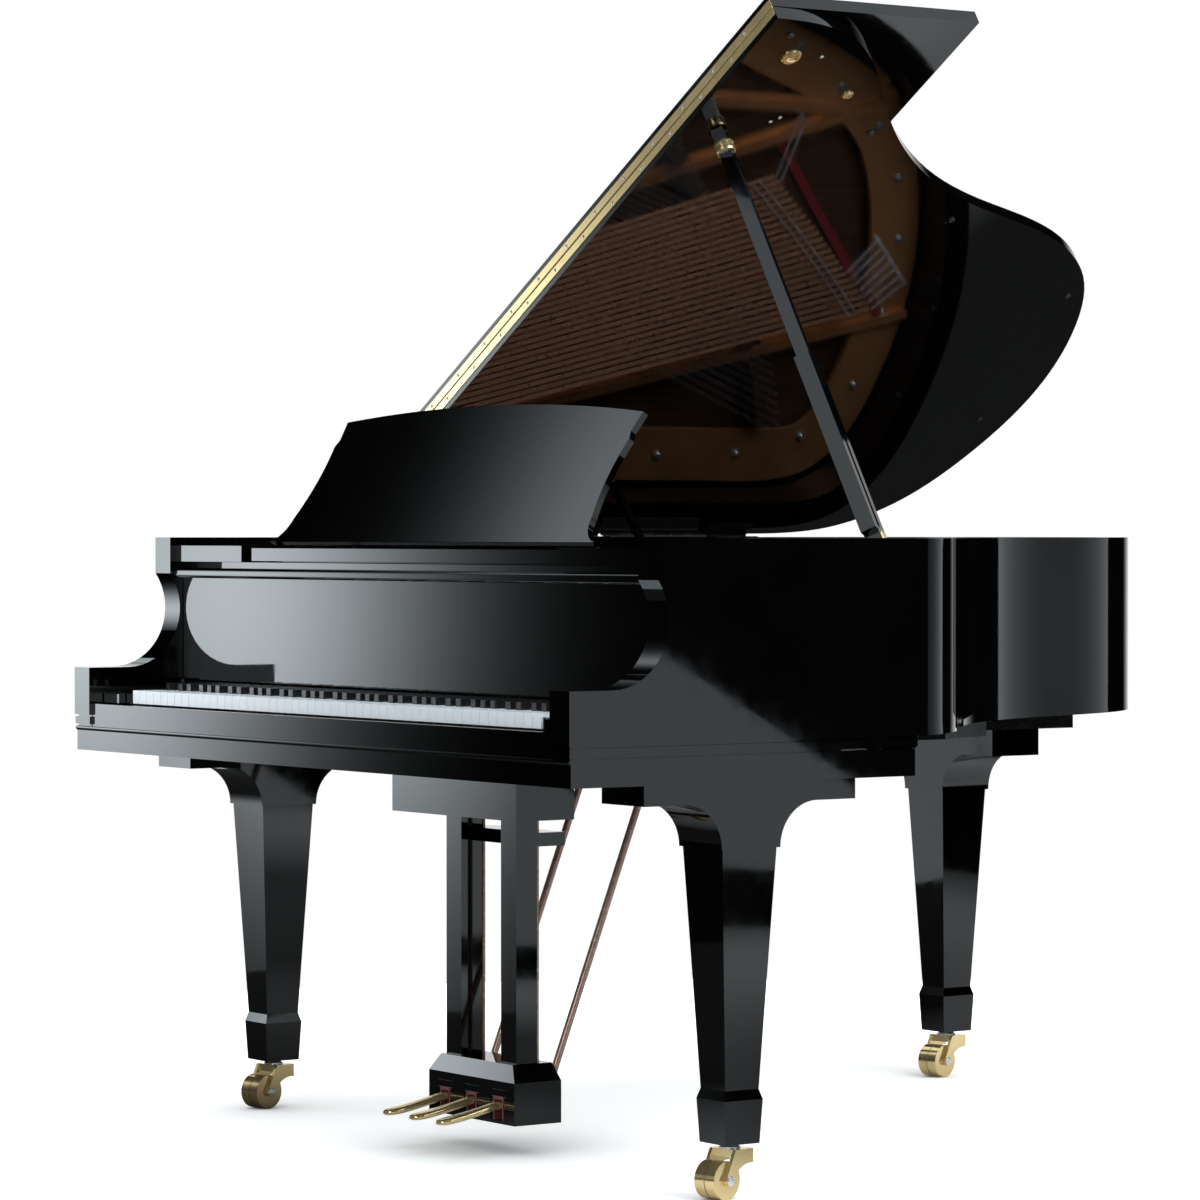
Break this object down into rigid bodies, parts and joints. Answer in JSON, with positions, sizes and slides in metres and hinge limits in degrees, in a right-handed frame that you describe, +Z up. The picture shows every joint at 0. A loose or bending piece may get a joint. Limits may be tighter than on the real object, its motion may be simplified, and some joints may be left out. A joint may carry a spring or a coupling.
{
  "type": "grand piano",
  "caption": "Black gloss grand piano on three tapered legs with casters, lid propped open, front flap folded back, music desk, keyboard and pedal lyre.",
  "frame": {"origin": "on the floor, under the middle of the bounding box of the piano with its lid open", "axes": "+X from bass to treble (player's right), +Y from the keyboard to the tail, +Z up"},
  "size_m": [1.5194, 1.7817, 1.8216],
  "materials": {
    "black_lacquer": "high gloss polished lacquer on laminated wood",
    "bare_wood": "satin",
    "spruce": "satin varnish",
    "bronzed_iron": "bronze lacquer",
    "string_steel": "polished",
    "wound_copper": "copper winding",
    "brass": "polished",
    "white_key": "gloss",
    "black_key": "satin",
    "felt_and_wood": "felt on hornbeam",
    "wheel_brass": "polished"
  },
  "bodies": {
    "case": {"outer_rim": "black_lacquer", "inner_rim": "black_lacquer", "back_posts": "black_lacquer", "soundboard": "spruce", "pin_block": "bare_wood", "iron_plate": "bronzed_iron", "bass_strings": "wound_copper", "treble_strings": "string_steel", "tuning_pins": "string_steel", "keybed": "black_lacquer", "key_slip": "black_lacquer", "key_blocks": "black_lacquer", "shelf_rails": "black_lacquer", "left_leg": "black_lacquer", "right_leg": "black_lacquer", "rear_leg": "black_lacquer", "lyre_top_block": "black_lacquer", "lyre_posts": "black_lacquer", "pedal_box": "black_lacquer", "lyre_braces": "brass", "lid_hinge_case_leaves": "brass", "prop_bracket": "brass"},
    "lid": {"lid_main": "black_lacquer", "flap_hinge_lid_leaf": "brass", "lid_hinge_lid_leaves": "brass"},
    "flap": {"lid_flap": "black_lacquer", "flap_hinge_flap_leaf": "brass"},
    "prop": {"prop_stick": "black_lacquer"},
    "short_prop": {"short_prop": "black_lacquer"},
    "fallboard": {"fallboard": "black_lacquer"},
    "shelf": {"music_shelf": "black_lacquer"},
    "desk": {"music_desk": "black_lacquer"},
    "struts": {"desk_struts": "black_lacquer"},
    "action": {"key_frame": "bare_wood", "hammer_action": "felt_and_wood"},
    "dampers": {"dampers": "felt_and_wood"},
    "soft_pedal": {"soft_pedal": "brass"},
    "soft_rod": {"soft_pedal_rod": "brass"},
    "sostenuto_pedal": {"sostenuto_pedal": "brass"},
    "sostenuto_rod": {"sostenuto_pedal_rod": "brass"},
    "damper_pedal": {"damper_pedal": "brass"},
    "damper_rod": {"damper_pedal_rod": "brass"},
    "keys_c": {"keys_c": "white_key"},
    "keys_c_sharp": {"keys_c_sharp": "black_key"},
    "keys_d": {"keys_d": "white_key"},
    "keys_d_sharp": {"keys_d_sharp": "black_key"},
    "keys_e": {"keys_e": "white_key"},
    "keys_f": {"keys_f": "white_key"},
    "keys_f_sharp": {"keys_f_sharp": "black_key"},
    "keys_g": {"keys_g": "white_key"},
    "keys_g_sharp": {"keys_g_sharp": "black_key"},
    "keys_a": {"keys_a": "white_key"},
    "keys_a_sharp": {"keys_a_sharp": "black_key"},
    "keys_b": {"keys_b": "white_key"},
    "left_fork": {"left_caster_fork": "brass"},
    "left_wheels": {"left_caster_wheels": "wheel_brass"},
    "right_fork": {"right_caster_fork": "brass"},
    "right_wheels": {"right_caster_wheels": "wheel_brass"},
    "rear_fork": {"rear_caster_fork": "brass"},
    "rear_wheels": {"rear_caster_wheels": "wheel_brass"}
  },
  "joints": [
    {"name": "lid_hinge", "type": "hinge", "parent": "case", "child": "lid", "pos_m": [-0.739, 0, 0.986], "axis": [0, -1, 0], "range_deg": [0, 40]},
    {"name": "flap_hinge", "type": "hinge", "parent": "lid", "child": "flap", "pos_m": [-0.11109, -0.3516, 1.40598], "axis": [0.8492, 0, 0.5281], "range_deg": [0, 180]},
    {"name": "prop_fold", "type": "hinge", "parent": "case", "child": "prop", "pos_m": [0.68, -0.27, 0.981], "axis": [-0.6871, -0.5876, -0.4273], "range_deg": [0, 64]},
    {"name": "short_prop_fold", "type": "hinge", "parent": "prop", "child": "short_prop", "pos_m": [0.66204, -0.27, 1.00987], "axis": [0.499, -0.8091, 0.3104], "range_deg": [0, 40]},
    {"name": "fallboard_hinge", "type": "hinge", "parent": "case", "child": "fallboard", "pos_m": [0.016, -0.7, 0.752], "axis": [1, 0, 0], "range_deg": [0, 90]},
    {"name": "shelf_slide", "type": "slide", "parent": "case", "child": "shelf", "axis": [0, 1, 0], "range_m": [-0.08, 0]},
    {"name": "desk_fold", "type": "hinge", "parent": "shelf", "child": "desk", "pos_m": [0.016, -0.65, 0.9703], "axis": [-1, 0, 0], "range_deg": [0, 58]},
    {"name": "strut_fold", "type": "hinge", "parent": "desk", "child": "struts", "pos_m": [0.016, -0.58906, 1.06783], "axis": [-1, 0, 0], "range_deg": [-116, 0]},
    {"name": "soft_pedal_press", "type": "hinge", "parent": "case", "child": "soft_pedal", "pos_m": [-0.062, -0.545, 0.08], "axis": [1, 0, 0], "range_deg": [0, 7], "stiffness_Nm_per_rad": 8, "springref_deg": -8.59},
    {"name": "soft_rod_lift", "type": "slide", "parent": "case", "child": "soft_rod", "axis": [0, 0, 1], "range_m": [0, 0.006]},
    {"name": "sostenuto_pedal_press", "type": "hinge", "parent": "case", "child": "sostenuto_pedal", "pos_m": [0.016, -0.545, 0.08], "axis": [1, 0, 0], "range_deg": [0, 7], "stiffness_Nm_per_rad": 8, "springref_deg": -8.59},
    {"name": "sostenuto_rod_lift", "type": "slide", "parent": "case", "child": "sostenuto_rod", "axis": [0, 0, 1], "range_m": [0, 0.006]},
    {"name": "damper_pedal_press", "type": "hinge", "parent": "case", "child": "damper_pedal", "pos_m": [0.094, -0.545, 0.08], "axis": [1, 0, 0], "range_deg": [0, 7], "stiffness_Nm_per_rad": 8, "springref_deg": -8.59},
    {"name": "damper_rod_lift", "type": "slide", "parent": "case", "child": "damper_rod", "axis": [0, 0, 1], "range_m": [0, 0.006]},
    {"name": "damper_lift", "type": "slide", "parent": "case", "child": "dampers", "axis": [0, 0, 1], "range_m": [0, 0.0062]},
    {"name": "action_shift", "type": "slide", "parent": "case", "child": "action", "axis": [1, 0, 0], "range_m": [0, 0.0026]},
    {"name": "press_c", "type": "hinge", "parent": "action", "child": "keys_c", "pos_m": [0.016, -0.635, 0.705], "axis": [1, 0, 0], "range_deg": [0, 2.66], "stiffness_Nm_per_rad": 2, "springref_deg": -22.92},
    {"name": "press_c_sharp", "type": "hinge", "parent": "action", "child": "keys_c_sharp", "pos_m": [0.016, -0.635, 0.705], "axis": [1, 0, 0], "range_deg": [0, 2.66], "stiffness_Nm_per_rad": 2, "springref_deg": -22.92},
    {"name": "press_d", "type": "hinge", "parent": "action", "child": "keys_d", "pos_m": [0.016, -0.635, 0.705], "axis": [1, 0, 0], "range_deg": [0, 2.66], "stiffness_Nm_per_rad": 2, "springref_deg": -22.92},
    {"name": "press_d_sharp", "type": "hinge", "parent": "action", "child": "keys_d_sharp", "pos_m": [0.016, -0.635, 0.705], "axis": [1, 0, 0], "range_deg": [0, 2.66], "stiffness_Nm_per_rad": 2, "springref_deg": -22.92},
    {"name": "press_e", "type": "hinge", "parent": "action", "child": "keys_e", "pos_m": [0.016, -0.635, 0.705], "axis": [1, 0, 0], "range_deg": [0, 2.66], "stiffness_Nm_per_rad": 2, "springref_deg": -22.92},
    {"name": "press_f", "type": "hinge", "parent": "action", "child": "keys_f", "pos_m": [0.016, -0.635, 0.705], "axis": [1, 0, 0], "range_deg": [0, 2.66], "stiffness_Nm_per_rad": 2, "springref_deg": -22.92},
    {"name": "press_f_sharp", "type": "hinge", "parent": "action", "child": "keys_f_sharp", "pos_m": [0.016, -0.635, 0.705], "axis": [1, 0, 0], "range_deg": [0, 2.66], "stiffness_Nm_per_rad": 2, "springref_deg": -22.92},
    {"name": "press_g", "type": "hinge", "parent": "action", "child": "keys_g", "pos_m": [0.016, -0.635, 0.705], "axis": [1, 0, 0], "range_deg": [0, 2.66], "stiffness_Nm_per_rad": 2, "springref_deg": -22.92},
    {"name": "press_g_sharp", "type": "hinge", "parent": "action", "child": "keys_g_sharp", "pos_m": [0.016, -0.635, 0.705], "axis": [1, 0, 0], "range_deg": [0, 2.66], "stiffness_Nm_per_rad": 2, "springref_deg": -22.92},
    {"name": "press_a", "type": "hinge", "parent": "action", "child": "keys_a", "pos_m": [0.016, -0.635, 0.705], "axis": [1, 0, 0], "range_deg": [0, 2.66], "stiffness_Nm_per_rad": 2, "springref_deg": -22.92},
    {"name": "press_a_sharp", "type": "hinge", "parent": "action", "child": "keys_a_sharp", "pos_m": [0.016, -0.635, 0.705], "axis": [1, 0, 0], "range_deg": [0, 2.66], "stiffness_Nm_per_rad": 2, "springref_deg": -22.92},
    {"name": "press_b", "type": "hinge", "parent": "action", "child": "keys_b", "pos_m": [0.016, -0.635, 0.705], "axis": [1, 0, 0], "range_deg": [0, 2.66], "stiffness_Nm_per_rad": 2, "springref_deg": -22.92},
    {"name": "left_swivel", "type": "hinge", "parent": "case", "child": "left_fork", "pos_m": [-0.648, -0.546, 0.078], "axis": [0, 0, 1], "continuous": true},
    {"name": "left_roll", "type": "hinge", "parent": "left_fork", "child": "left_wheels", "pos_m": [-0.64218, -0.57339, 0.029], "axis": [0.9781, 0.2079, 0], "continuous": true},
    {"name": "right_swivel", "type": "hinge", "parent": "case", "child": "right_fork", "pos_m": [0.68, -0.546, 0.078], "axis": [0, 0, 1], "continuous": true},
    {"name": "right_roll", "type": "hinge", "parent": "right_fork", "child": "right_wheels", "pos_m": [0.68582, -0.57339, 0.029], "axis": [0.9781, 0.2079, 0], "continuous": true},
    {"name": "rear_swivel", "type": "hinge", "parent": "case", "child": "rear_fork", "pos_m": [-0.344, 0.703, 0.078], "axis": [0, 0, 1], "continuous": true},
    {"name": "rear_roll", "type": "hinge", "parent": "rear_fork", "child": "rear_wheels", "pos_m": [-0.33818, 0.67561, 0.029], "axis": [0.9781, 0.2079, 0], "continuous": true}
  ],
  "couplings": [
    {"joint": "strut_fold", "follows": "desk_fold", "ratio": -2},
    {"joint": "damper_lift", "follows": "damper_pedal_press", "m_per_rad": 0.049},
    {"joint": "action_shift", "follows": "soft_pedal_press", "m_per_rad": 0.0205},
    {"joint": "soft_rod_lift", "follows": "soft_pedal_press", "m_per_rad": 0.047},
    {"joint": "sostenuto_rod_lift", "follows": "sostenuto_pedal_press", "m_per_rad": 0.047},
    {"joint": "damper_rod_lift", "follows": "damper_pedal_press", "m_per_rad": 0.047}
  ]
}
